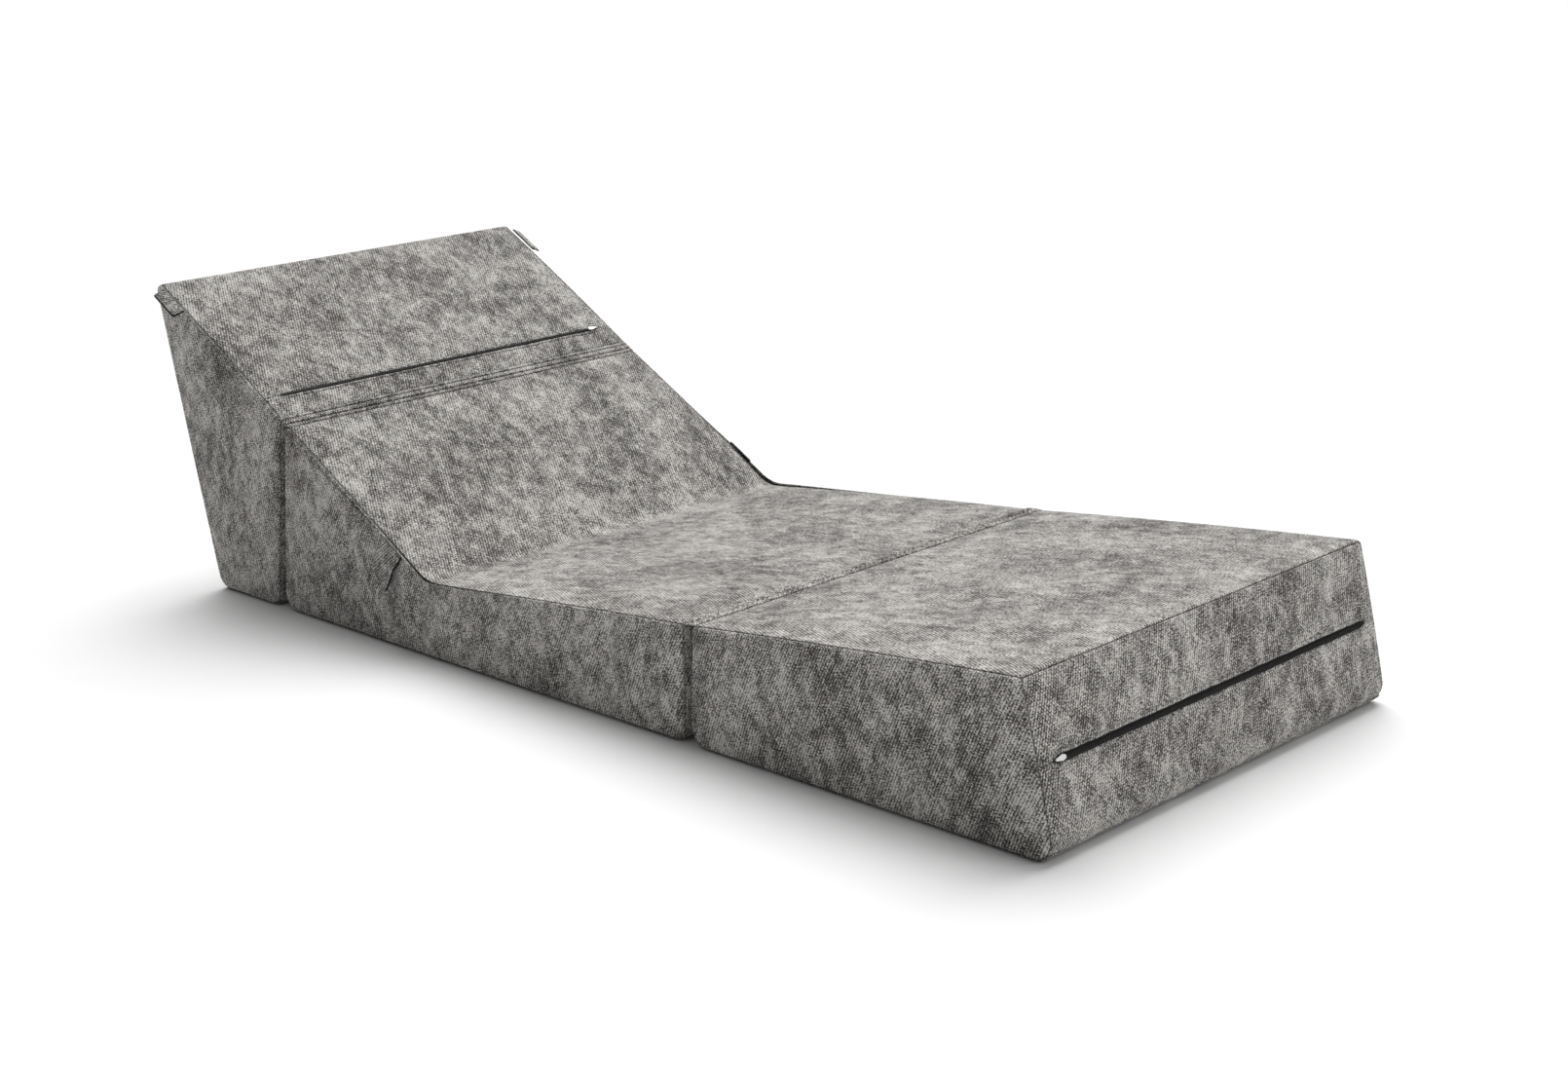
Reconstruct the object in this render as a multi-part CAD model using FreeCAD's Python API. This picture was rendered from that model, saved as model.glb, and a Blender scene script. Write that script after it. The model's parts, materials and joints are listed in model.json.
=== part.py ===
# Convertible chair bed, shown unfolded as a lounger: a head block, a seat block and a
# foot block of foam in sewn covers. The head block folds over onto the rising back of
# the seat block and becomes the backrest; the foot block folds over onto the seat.
# X runs from the head to the foot, Y to the sitter's left and Z up. The origin is the
# middle of the seat block's underside, on the floor.
import FreeCAD, Part
import math
import os

# Driving dimensions of the bed, in millimetres and degrees
bed_width = 700.0
head_hinge_height = 305.0
slope_angle = 29.8
slope_length = 382.0
seat_length = 553.0
seat_rise_angle = 5.4
backrest_lean = 12.3
tip_clearance = 4.0
foot_clearance = 5.5

# Where the upright faces reach the floor, beyond the top corner they hang from
seat_rear_kick = 46.0
seat_front_kick = 6.0
head_front_kick = 51.0
foot_rear_kick = 13.0

# Hinges: the gap between two blocks along the top, and the axis above the cover
head_hinge_gap = 9.0
foot_hinge_gap = 14.0
hinge_axis_lift = 2.5

# Rounding and crown of the blocks
side_edge_radius = 8.0
hinge_corner_radius = 9.5
tip_radius = 12.0
front_corner_radius = 10.0
floor_corner_radius = 20.0
crease_radius = 60.0
lying_crown = 2.0
upright_crown = 1.0
meeting_crown = 1.2

# Cover cloth and its seams
cloth = 1.6
foam_chamfer = 3.75
side_seam_inset = 5.0
strip_cloth = 1.4
strip_lap = 3.0
running_gap = 0.3

# Zips: where they lie and the parts they are made of
head_zip_from_hinge = 54.0
foot_zip_from_top = 106.0
seat_zip_from_hinge = 165.0
zip_side_margin = 30.0
head_zip_slot = 6.6
foot_zip_slot = 10.0
seat_zip_slot = 6.6
tape_width = 11.0
tape_thickness = 0.7
tape_gap = 0.05
coil_gap = 1.4
coil_width = 2.0
coil_height = 1.3
coil_edge_radius = 0.7
stop_length = 3.0
slider_length = 18.0
slider_width = 8.0
slider_nose = 2.4
slider_tail = 4.0
slider_shoulder = 3.6
slider_plate = 1.1
slider_rim_radius = 0.5
bridge_thickness = 0.8
bridge_length = 4.0
zip_channel_depth = 4.0

# Tabs sewn into the side seams, with a hook pad on the inner face
tab_cloth = 1.4
pad_thickness = 1.2
pad_rim = 2.5
tab_corner_radius = 4.0
head_tab_length = 56.0
head_tab_reach = 18.0
head_tab_from_tip = 68.0
head_tab_droop = 26.0
head_tab_stand_off = 1.5
head_tab_drop = 1.2
seat_tab_width = 48.0
seat_tab_reach = 62.0
seat_tab_from_crease = 83.0
seat_tab_drop = 2.0
seat_tab_wall_gap = 0.4
seat_tab_droop = 90.0

half_width = bed_width / 2
panel_seam = half_width - side_seam_inset
tolerance = 1e-6
across = FreeCAD.Vector(0, 1, 0)
origin = FreeCAD.Vector(0, 0, 0)


def point(x, z):
    return FreeCAD.Vector(x, 0, z)


def heading(angle):
    """Unit vector in the XZ plane, at an angle above +X."""
    return point(math.cos(math.radians(angle)), math.sin(math.radians(angle)))


def outward(start, end):
    """Outward normal of a side; outlines run anticlockwise with X right and Z up."""
    step = (end - start).normalize()
    return point(step.z, -step.x)


def crossing(start, along, other_start, other_along):
    """Where two lines in the XZ plane meet."""
    gap = other_start - start
    turn = along.x * other_along.z - along.z * other_along.x
    return start + along * ((gap.x * other_along.z - gap.z * other_along.x) / turn)


def is_convex(corners, index):
    """Whether an outline turns outwards at a corner."""
    before, here = corners[index - 1][0], corners[index][0]
    after = corners[(index + 1) % len(corners)][0]
    return (here - before).cross(after - here).y < 0


def inset(corners, depth):
    """Sharp corners and radii moved inwards by a depth; a negative depth moves them out."""
    moved = []
    for index, (here, radius) in enumerate(corners):
        before, after = corners[index - 1][0], corners[(index + 1) % len(corners)][0]
        start = here - outward(before, here) * depth
        other_start = here - outward(here, after) * depth
        spot = crossing(start, here - before, other_start, after - here)
        moved.append((spot, radius - depth if is_convex(corners, index) else radius + depth))
    return moved


def side_arc(start, end, crown):
    """One side of an outline, bowed outwards by its crown."""
    if crown == 0:
        return Part.LineSegment(start, end).toShape()
    middle = (start + end) * 0.5 + outward(start, end) * crown
    return Part.Arc(start, middle, end).toShape()


def edges_along(solid, spot):
    """Edges that run across the bed through a corner of the outline."""
    return [edge for edge in solid.Edges
            if all((vertex.Point - spot).cross(across).Length < tolerance
                   for vertex in edge.Vertexes)]


def bowed_block(corners, crowns, half):
    """Outline of bowed sides drawn across the bed, with its corners rounded."""
    sides = []
    for index, (start, _) in enumerate(corners):
        end = corners[(index + 1) % len(corners)][0]
        sides.append(side_arc(start, end, crowns[index]))
    solid = Part.Face(Part.Wire(sides)).extrude(across * (2 * half))
    solid.translate(across * -half)
    for spot, radius in corners:
        solid = solid.makeFillet(radius, edges_along(solid, spot))
    return solid


def rims_of(solid, half):
    """Edges round the two flat ends of a block."""
    return [edge for edge in solid.Edges
            if all(abs(abs(vertex.Y) - half) < tolerance for vertex in edge.Vertexes)]


def cushion(corners, crowns, half, rim_radius):
    solid = bowed_block(corners, crowns, half)
    return solid.makeFillet(rim_radius, rims_of(solid, half))


def foam_core(corners, crowns, half):
    solid = bowed_block(corners, crowns, half)
    return solid.makeChamfer(foam_chamfer, rims_of(solid, half))


def prism(points, half):
    """Straight-sided solid across the bed."""
    face = Part.Face(Part.makePolygon(points + points[:1]))
    solid = face.extrude(across * (2 * half))
    solid.translate(across * -half)
    return solid


def centred_box(x_size, y_size, z_low, z_high, x_middle=0.0, y_middle=0.0):
    corner = FreeCAD.Vector(x_middle - x_size / 2, y_middle - y_size / 2, z_low)
    return Part.makeBox(x_size, y_size, z_high - z_low, corner)


def surface_frame(start, end, distance, crown=0.0):
    """Place on a side, with local Z outwards and local X back towards the side's start."""
    spot = start + (end - start).normalize() * distance
    normal = outward(start, end)
    if crown > 0:
        radius = ((end - start).Length ** 2 / 4 + crown ** 2) / (2 * crown)
        hub = (start + end) * 0.5 + normal * (crown - radius)
        normal = (spot - hub).normalize()
        spot = hub + normal * radius
    turn = math.degrees(math.atan2(normal.x, normal.z))
    return FreeCAD.Placement(spot, FreeCAD.Rotation(across, turn))


def placed(shape, frame):
    moved = shape.copy()
    moved.Placement = frame.multiply(moved.Placement)
    return moved


# Hinge axes, crease and corners of the three outlines
def layout():
    """Sharp corners of the blocks, worked out from the two hinges and the crease."""
    down_slope = heading(-slope_angle)
    up_seat = heading(seat_rise_angle)
    hinge = point(0, head_hinge_height)
    crease = hinge + down_slope * slope_length
    fold = crease + up_seat * seat_length
    spots = {"hinge": hinge, "crease": crease, "fold": fold}
    spots["seat_back_top"] = hinge + down_slope * (head_hinge_gap / 2)
    spots["head_front_top"] = hinge - down_slope * (head_hinge_gap / 2)
    spots["head_tip"] = hinge - down_slope * (slope_length - tip_clearance)
    spots["seat_front_top"] = fold - up_seat * (foot_hinge_gap / 2)
    spots["foot_rear_top"] = fold + up_seat * (foot_hinge_gap / 2)
    spots["foot_front_top"] = fold + up_seat * (seat_length - foot_clearance)
    lean = math.tan(math.radians(backrest_lean))
    floor_marks = {
        "seat_rear_floor": ("seat_back_top", -seat_rear_kick),
        "seat_front_floor": ("seat_front_top", -seat_front_kick),
        "head_front_floor": ("head_front_top", -head_front_kick),
        "head_rear_floor": ("head_tip", lean * spots["head_tip"].z),
        "foot_rear_floor": ("foot_rear_top", -foot_rear_kick),
        "foot_front_floor": ("foot_front_top", lean * spots["foot_front_top"].z),
    }
    for name, (above, offset) in floor_marks.items():
        spots[name] = point(spots[above].x + offset, 0)
    middle = (spots["seat_rear_floor"].x + spots["seat_front_floor"].x) / 2
    return {name: spot - point(middle, 0) for name, spot in spots.items()}


spots = layout()
hinge_lift = heading(90 - slope_angle) * hinge_axis_lift
fold_lift = heading(90 + seat_rise_angle) * hinge_axis_lift
head_axis = spots["hinge"] + hinge_lift
foot_axis = spots["fold"] + fold_lift


def outline_of(names_and_radii):
    return [(spots[name], radius) for name, radius in names_and_radii]


head_corners = outline_of([
    ("head_rear_floor", floor_corner_radius),
    ("head_front_floor", floor_corner_radius),
    ("head_front_top", hinge_corner_radius),
    ("head_tip", tip_radius),
])
head_crowns = [0, upright_crown, lying_crown, meeting_crown]

seat_corners = outline_of([
    ("seat_rear_floor", floor_corner_radius),
    ("seat_front_floor", floor_corner_radius),
    ("seat_front_top", hinge_corner_radius),
    ("crease", crease_radius),
    ("seat_back_top", hinge_corner_radius),
])
seat_crowns = [0, upright_crown, lying_crown, lying_crown, upright_crown]

foot_corners = outline_of([
    ("foot_rear_floor", floor_corner_radius),
    ("foot_front_floor", floor_corner_radius),
    ("foot_front_top", front_corner_radius),
    ("foot_rear_top", hinge_corner_radius),
])
foot_crowns = [0, meeting_crown, lying_crown, upright_crown]


# Covers: one cloth shell for each block, divided along its seams
def sector(hub, start, end):
    """Wedge from a point inside the block out to well past two of its corners."""
    return prism([hub, start * 3 - hub * 2, end * 3 - hub * 2], half_width)


def cover_panels(corners, crowns, hub, sides):
    """Foam core, side panels and one panel for each named run of sides."""
    outer = cushion(corners, crowns, half_width, side_edge_radius)
    core = foam_core(inset(corners, cloth), crowns, half_width - cloth)
    shell = outer.cut(core)
    size = outer.BoundBox.DiagonalLength
    girth = centred_box(2 * size, 2 * panel_seam, -size, size, outer.BoundBox.Center.x)
    pieces = {"foam": core}
    rims = shell.cut(girth)
    for rim in rims.Solids:
        pieces["left" if rim.CenterOfMass.y > 0 else "right"] = rim
    band = shell.common(girth)
    for name, (first, last) in sides.items():
        wedge = sector(hub, corners[first][0], corners[last][0])
        pieces[name] = band.common(wedge)
    return pieces


def middle_of(*names):
    total = origin
    for name in names:
        total = total + spots[name]
    return total * (1 / len(names))


head = cover_panels(
    head_corners, head_crowns,
    middle_of("head_rear_floor", "head_front_floor", "head_front_top", "head_tip"),
    {"base": (0, 1), "front": (1, 2), "slope": (2, 3), "backrest": (3, 0)},
)
seat = cover_panels(
    seat_corners, seat_crowns,
    middle_of("seat_rear_floor", "seat_front_floor", "crease"),
    {"base": (0, 1), "front": (1, 2), "top": (2, 4), "rear": (4, 0)},
)
foot = cover_panels(
    foot_corners, foot_crowns,
    middle_of("foot_rear_floor", "foot_front_floor", "foot_front_top", "foot_rear_top"),
    {"base": (0, 1), "front": (1, 2), "top": (2, 3), "rear": (3, 0)},
)


# Zips: two tapes with a coil along the inner edge, end stops and a slider
def zip_parts(slot, slider_end):
    """Zip in its own frame: Z = 0 is the cover's outer face and Y runs along the zip."""
    length = bed_width - 2 * zip_side_margin
    tape_top = -cloth - tape_gap
    tape_low = tape_top - tape_thickness
    coil_top = tape_top + coil_height
    coil_length = length - 2 * stop_length
    parts = {}
    for name, side in (("tape_a", -1), ("tape_b", 1)):
        tape_middle = side * (coil_gap / 2 + tape_width / 2)
        tape = centred_box(tape_width, length, tape_low, tape_top, tape_middle)
        coil_middle = side * (coil_gap / 2 + coil_width / 2)
        coil = centred_box(coil_width, coil_length, tape_top, coil_top, coil_middle)
        long_edges = [edge for edge in top_rim(coil) if edge.Length > coil_width + tolerance]
        coil = coil.makeFillet(coil_edge_radius, long_edges)
        parts[name] = tape.fuse(coil).removeSplitter()
    stop_width = coil_gap + 2 * coil_width
    stop_middle = (coil_length + stop_length) / 2
    stops = []
    for side in (-1, 1):
        stop = centred_box(stop_width, stop_length, tape_top, coil_top, 0, side * stop_middle)
        stops.append(stop)
    parts["stops"] = Part.makeCompound(stops)
    over_cloth = slot < slider_width + 2 * running_gap
    parts["slider"] = slider(0 if over_cloth else coil_top, tape_low, slider_end)
    rest = slider_end * (coil_length / 2 - slider_length / 2 - running_gap)
    parts["slider"].translate(across * rest)
    parts["opening"] = centred_box(slot, length, -2 * cloth, cloth)
    channel_width = 2 * tape_width + coil_gap + 2 * running_gap
    channel_length = length + 2 * running_gap
    parts["channel"] = centred_box(channel_width, channel_length, -cloth - zip_channel_depth, 0)
    return parts


def slider(track_top, tape_low, slider_end):
    """Two shield-shaped plates, above the track and below the tape, joined by a bridge."""
    half_length = slider_length / 2
    shield = [
        FreeCAD.Vector(-slider_nose / 2, half_length, 0),
        FreeCAD.Vector(-slider_width / 2, -slider_shoulder, 0),
        FreeCAD.Vector(-slider_tail / 2, -half_length, 0),
        FreeCAD.Vector(slider_tail / 2, -half_length, 0),
        FreeCAD.Vector(slider_width / 2, -slider_shoulder, 0),
        FreeCAD.Vector(slider_nose / 2, half_length, 0),
    ]
    face = Part.Face(Part.makePolygon(shield + shield[:1]))
    upper_low = track_top + running_gap
    lower_high = tape_low - running_gap
    plate = face.extrude(FreeCAD.Vector(0, 0, slider_plate))
    upper = plate.copy()
    upper.translate(FreeCAD.Vector(0, 0, upper_low))
    upper = upper.makeFillet(slider_rim_radius, top_rim(upper))
    lower = plate.copy()
    lower.translate(FreeCAD.Vector(0, 0, lower_high - slider_plate))
    bridge_middle = half_length - bridge_length / 2 - slider_plate
    bridge = centred_box(bridge_thickness, bridge_length, lower_high, upper_low, 0, bridge_middle)
    body = upper.fuse([lower, bridge]).removeSplitter()
    if slider_end < 0:
        body = body.mirror(origin, across)
    return body


def top_rim(shape):
    highest = shape.BoundBox.ZMax
    return [edge for edge in shape.Edges
            if all(vertex.Z > highest - tolerance for vertex in edge.Vertexes)]


def fit_zip(pieces, panel, names, frame, slot, slider_end):
    """Open a panel over a zip, part it along the zip and cut the channel in the foam."""
    parts = {name: placed(shape, frame) for name, shape in zip_parts(slot, slider_end).items()}
    opened = pieces.pop(panel).cut(parts["opening"])
    reach = opened.BoundBox.DiagonalLength
    for name, side in zip(names, (-1, 1)):
        half = placed(centred_box(reach, 2 * reach, -reach, reach, side * reach / 2), frame)
        pieces[name] = opened.common(half)
    pieces["foam"] = pieces["foam"].cut(parts["channel"])
    pieces["zip_tape_" + names[0]] = parts["tape_a"]
    pieces["zip_tape_" + names[1]] = parts["tape_b"]
    pieces["zip_stops"] = parts["stops"]
    return parts["slider"]


def frame_on_side(corners, crowns, index, distance):
    """Place on a side, at a distance along it from its sharp starting corner."""
    end = corners[(index + 1) % len(corners)][0]
    return surface_frame(corners[index][0], end, distance, crowns[index])


head_zip_frame = frame_on_side(head_corners, head_crowns, 2,
                               head_zip_from_hinge - head_hinge_gap / 2)
head_slider = fit_zip(head, "slope", ("slope_main", "slope_band"), head_zip_frame,
                      head_zip_slot, 1)

foot_front_height = (spots["foot_front_top"] - spots["foot_front_floor"]).Length
foot_zip_frame = frame_on_side(foot_corners, foot_crowns, 1,
                               foot_front_height - foot_zip_from_top)
foot_slider = fit_zip(foot, "front", ("front_upper", "front_lower"), foot_zip_frame,
                      foot_zip_slot, -1)

seat_zip_frame = frame_on_side(seat_corners, seat_crowns, 4, seat_zip_from_hinge)
seat_slider = fit_zip(seat, "rear", ("rear_lower", "rear_upper"), seat_zip_frame,
                      seat_zip_slot, 1)


# Cloth hinge strips, sewn to the seat block and just clear of the block that folds
def hinge_strip(frame, still, moving, still_run, moving_run, still_side):
    """Flat band across a hinge gap, cut to the roundings of the two blocks."""
    span = still_run + moving_run
    shift = still_side * (still_run - moving_run) / 2
    band = centred_box(span, 2 * panel_seam, -strip_cloth, 0, shift)
    band = placed(band, frame)
    return band.cut(still).cut(moving)


def strip_run(corners, index, gap):
    """From the hinge to a little short of where a block's rounding ends."""
    here, radius = corners[index]
    step_in = here - corners[index - 1][0]
    step_out = corners[(index + 1) % len(corners)][0] - here
    return gap / 2 + radius * math.tan(step_in.getAngle(step_out) / 2) - strip_lap


seat_outer = cushion(seat_corners, seat_crowns, half_width, side_edge_radius)
head_clear = bowed_block(inset(head_corners, -running_gap), head_crowns, half_width)
foot_clear = bowed_block(inset(foot_corners, -running_gap), foot_crowns, half_width)
head_strip = hinge_strip(
    surface_frame(spots["seat_back_top"], spots["head_front_top"], head_hinge_gap / 2),
    seat_outer, head_clear,
    strip_run(seat_corners, 4, head_hinge_gap),
    strip_run(head_corners, 2, head_hinge_gap), 1,
)
foot_strip = hinge_strip(
    surface_frame(spots["foot_rear_top"], spots["seat_front_top"], foot_hinge_gap / 2),
    seat_outer, foot_clear,
    strip_run(seat_corners, 2, foot_hinge_gap),
    strip_run(foot_corners, 3, foot_hinge_gap), -1,
)


# Tabs
def tab_plate(length, reach, low, high):
    """Plate that runs from its sewn edge at Y = 0 towards -Y, with round free corners."""
    plate = Part.makeBox(length, reach, high - low, FreeCAD.Vector(-length / 2, -reach, low))
    free = [edge for edge in plate.Edges
            if all(abs(vertex.Y + reach) < tolerance for vertex in edge.Vertexes)
            and edge.Length < high - low + tolerance]
    return plate.makeFillet(tab_corner_radius, free)


def tab(length, reach):
    """Tab cloth above its hook pad; the pad's rim shows round the free edges."""
    cloth_plate = tab_plate(length, reach, 0, tab_cloth)
    pad = tab_plate(length + 2 * pad_rim, reach + pad_rim, -pad_thickness, 0)
    return {"cloth": cloth_plate, "pad": pad}


def sewn_tab(length, reach, frame, sewn_at, droop):
    """Right-hand tab, turned down about its sewn edge and placed on the seam."""
    turned = FreeCAD.Placement(sewn_at, FreeCAD.Rotation(FreeCAD.Vector(1, 0, 0), droop))
    return {name: placed(placed(shape, turned), frame)
            for name, shape in tab(length, reach).items()}


def both_sides(right):
    left = {name: shape.mirror(origin, across) for name, shape in right.items()}
    return {"right": right, "left": left}


head_slope_length = (spots["head_tip"] - spots["head_front_top"]).Length
head_tab_frame = frame_on_side(head_corners, head_crowns, 2,
                               head_slope_length - head_tab_from_tip)
head_tab_edge = FreeCAD.Vector(0, -half_width + head_tab_stand_off, -head_tab_drop)
head_tabs = both_sides(sewn_tab(head_tab_length, head_tab_reach, head_tab_frame,
                                head_tab_edge, head_tab_droop))

seat_tab_frame = frame_on_side(seat_corners, seat_crowns, 3, seat_tab_from_crease)
seat_tab_edge = FreeCAD.Vector(0, -half_width - seat_tab_wall_gap - pad_thickness, -seat_tab_drop)
seat_tabs = both_sides(sewn_tab(seat_tab_width, seat_tab_reach, seat_tab_frame,
                                seat_tab_edge, seat_tab_droop))


# Every piece under its own name
nodes = {
    "head_seat_hinge_strip": head_strip,
    "seat_foot_hinge_strip": foot_strip,
    "head_zip_slider": head_slider,
    "seat_zip_slider": seat_slider,
    "foot_zip_slider": foot_slider,
}
for block_name, pieces in (("head", head), ("seat", seat), ("foot", foot)):
    for piece_name, shape in pieces.items():
        if piece_name in ("left", "right"):
            piece_name = piece_name + "_side"
        nodes[block_name + "_" + piece_name] = shape
for block_name, tabs in (("head", head_tabs), ("seat", seat_tabs)):
    for side, pieces in tabs.items():
        nodes[block_name + "_tab_" + side] = pieces["cloth"]
        nodes[block_name + "_tab_hook_pad_" + side] = pieces["pad"]

os.makedirs("parts", exist_ok=True)
for name, shape in sorted(nodes.items()):
    print(name, shape.isValid(), len(shape.Solids), round(shape.Volume), shape.BoundBox)
    shape.exportStep("parts/" + name + ".step")
for name, axis in (("head hinge", head_axis), ("foot hinge", foot_axis)):
    print(name, round(axis.x, 3), round(axis.z, 3))
for name, edge, frame in (("head tab", head_tab_edge, head_tab_frame),
                          ("seat tab", seat_tab_edge, seat_tab_frame)):
    seam_point = frame.multVec(edge)
    print(name, [round(value, 3) for value in seam_point])
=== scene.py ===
import json
import math

import bpy
import numpy as np
from mathutils import Matrix, Vector, noise


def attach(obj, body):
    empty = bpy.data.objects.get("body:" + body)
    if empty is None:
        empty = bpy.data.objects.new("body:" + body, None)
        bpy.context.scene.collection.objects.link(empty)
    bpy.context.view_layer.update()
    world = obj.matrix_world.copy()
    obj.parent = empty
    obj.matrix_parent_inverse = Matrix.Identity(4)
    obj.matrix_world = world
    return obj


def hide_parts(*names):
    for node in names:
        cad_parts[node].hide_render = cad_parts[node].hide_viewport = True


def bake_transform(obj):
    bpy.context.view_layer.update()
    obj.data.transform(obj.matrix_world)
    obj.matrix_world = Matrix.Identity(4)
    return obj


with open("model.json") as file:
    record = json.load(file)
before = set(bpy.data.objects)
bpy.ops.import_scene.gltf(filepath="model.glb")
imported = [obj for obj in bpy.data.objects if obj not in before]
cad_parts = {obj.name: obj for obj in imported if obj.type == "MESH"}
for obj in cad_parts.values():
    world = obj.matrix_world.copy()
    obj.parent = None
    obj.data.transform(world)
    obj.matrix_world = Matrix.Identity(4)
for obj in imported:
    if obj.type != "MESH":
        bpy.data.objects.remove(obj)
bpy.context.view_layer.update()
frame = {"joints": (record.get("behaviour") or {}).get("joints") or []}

# Sizes of the covers
HALF = 0.350
RIM = 0.008
SEAM_Y = 0.345
FLOOR_CORNER = 0.027
TOP_BOW = 0.002
UPRIGHT_BOW = 0.001
MEETING_BOW = 0.0012

# Cloth: how far it is drawn in along its seams and swells between them
DRAWN_IN = 0.0012
SHOULDER = 0.0018
SIDE_SWELL = 0.0030
SEAM_DEPTH = 0.0016
SEAM_WIDTH = 0.0014
TUCK = 0.005
TOP_LIMIT, TOP_SOFTNESS = 0.0004, 0.0005
LEAST_HEIGHT = 0.00005

# Cloth simulation: grid cell, frames, the cloth itself, and what is kept of its wrinkles
SIM_CELL = 0.011
SIM_FRAMES = 20
CLOTH = {"quality": 5, "mass": 0.3, "tension_stiffness": 15, "compression_stiffness": 15,
         "shear_stiffness": 8, "bending_stiffness": 0.4, "shrink_min": -0.012,
         "use_pressure": True, "uniform_pressure_force": 4.0}
WRINKLE_SIZE = 0.035
WRINKLE_CAP = 0.0009

# Zips
ZIP_HALF = 0.320
TAPE_LEVEL = 0.00170
TAPE_WIDTH = 0.011
COIL_RISE = 0.0005
COIL_PITCH = 0.0016
COIL_HALF_WIDTH, COIL_HALF_HEIGHT, COIL_WIRE = 0.0015, 0.00055, 0.00036
SLOT_CLOSING = 0.014

# Seam stitches
STITCH_PITCH = 0.0046
STITCH_LENGTH = 0.0030
THREAD_RADIUS = 0.00032

# Tabs: block, length, reach, droop from level in degrees, and curl of the lower edge by side
TABS = [("head", 0.056, 0.018, 26, {"right": 0.0012, "left": 0.0012}),
        ("seat", 0.048, 0.062, 90, {"right": 0.0080, "left": 0.0025})]
TAB_CLOTH, TAB_PAD, PAD_MARGIN = 0.0014, 0.0012, 0.0025

# Hinge strips: how far they run over each block, and the two seams on the head's strip
HEAD_STRIP = (-0.0081, 0.0154)
HEAD_STRIP_SEAMS = ((-0.0010, 0.0014), (0.0088, 0.0030))
FOOT_STRIP = (-0.0129, 0.0129)
STRIP_THICKNESS = 0.0012


def turned(angle):
    return np.array([math.cos(math.radians(angle)), math.sin(math.radians(angle))])


# Side profiles: the slope's and the seat's directions, lengths along them from the hinge
# lines, half the joints between the blocks, and the lean of the two end walls
DOWN, UP = turned(-29.8), turned(5.4)
ALONG_SLOPE = np.array([DOWN[0], 0, DOWN[1]])
SLOPE_NORMAL = np.array([-DOWN[1], 0, DOWN[0]])
HINGE_HEIGHT = 0.305
SEAT_SLOPE, HEAD_SLOPE = 0.382, 0.378
SEAT_TOP, FOOT_TOP = 0.553, 0.5475
HEAD_JOINT_HALF, FOOT_JOINT_HALF = 0.0045, 0.007
END_LEAN = math.tan(math.radians(12.3))


def layout():
    """Corners of the three side profiles, as (x, z), with the seat's base about x = 0."""
    hinge = np.array([0.0, HINGE_HEIGHT])
    crease = hinge + DOWN * SEAT_SLOPE
    fold = crease + UP * SEAT_TOP
    spots = {
        "hinge": hinge, "crease": crease, "fold": fold,
        "seat_back_top": hinge + DOWN * HEAD_JOINT_HALF,
        "head_front_top": hinge - DOWN * HEAD_JOINT_HALF,
        "head_tip": hinge - DOWN * HEAD_SLOPE,
        "seat_front_top": fold - UP * FOOT_JOINT_HALF,
        "foot_rear_top": fold + UP * FOOT_JOINT_HALF,
        "foot_front_top": fold + UP * FOOT_TOP,
    }
    # Floor corner, the corner above it, and how far it lies ahead of that one
    below = {
        "seat_rear_floor": ("seat_back_top", -0.046),
        "seat_front_floor": ("seat_front_top", -0.006),
        "head_front_floor": ("head_front_top", -0.051),
        "head_rear_floor": ("head_tip", END_LEAN * spots["head_tip"][1]),
        "foot_rear_floor": ("foot_rear_top", -0.013),
        "foot_front_floor": ("foot_front_top", END_LEAN * spots["foot_front_top"][1]),
    }
    for name, (above, shift) in below.items():
        spots[name] = np.array([spots[above][0] + shift, 0.0])
    middle = (spots["seat_rear_floor"][0] + spots["seat_front_floor"][0]) / 2
    return {name: spot - np.array([middle, 0.0]) for name, spot in spots.items()}


SPOTS = layout()


def unit(v):
    return v / np.linalg.norm(v)


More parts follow.
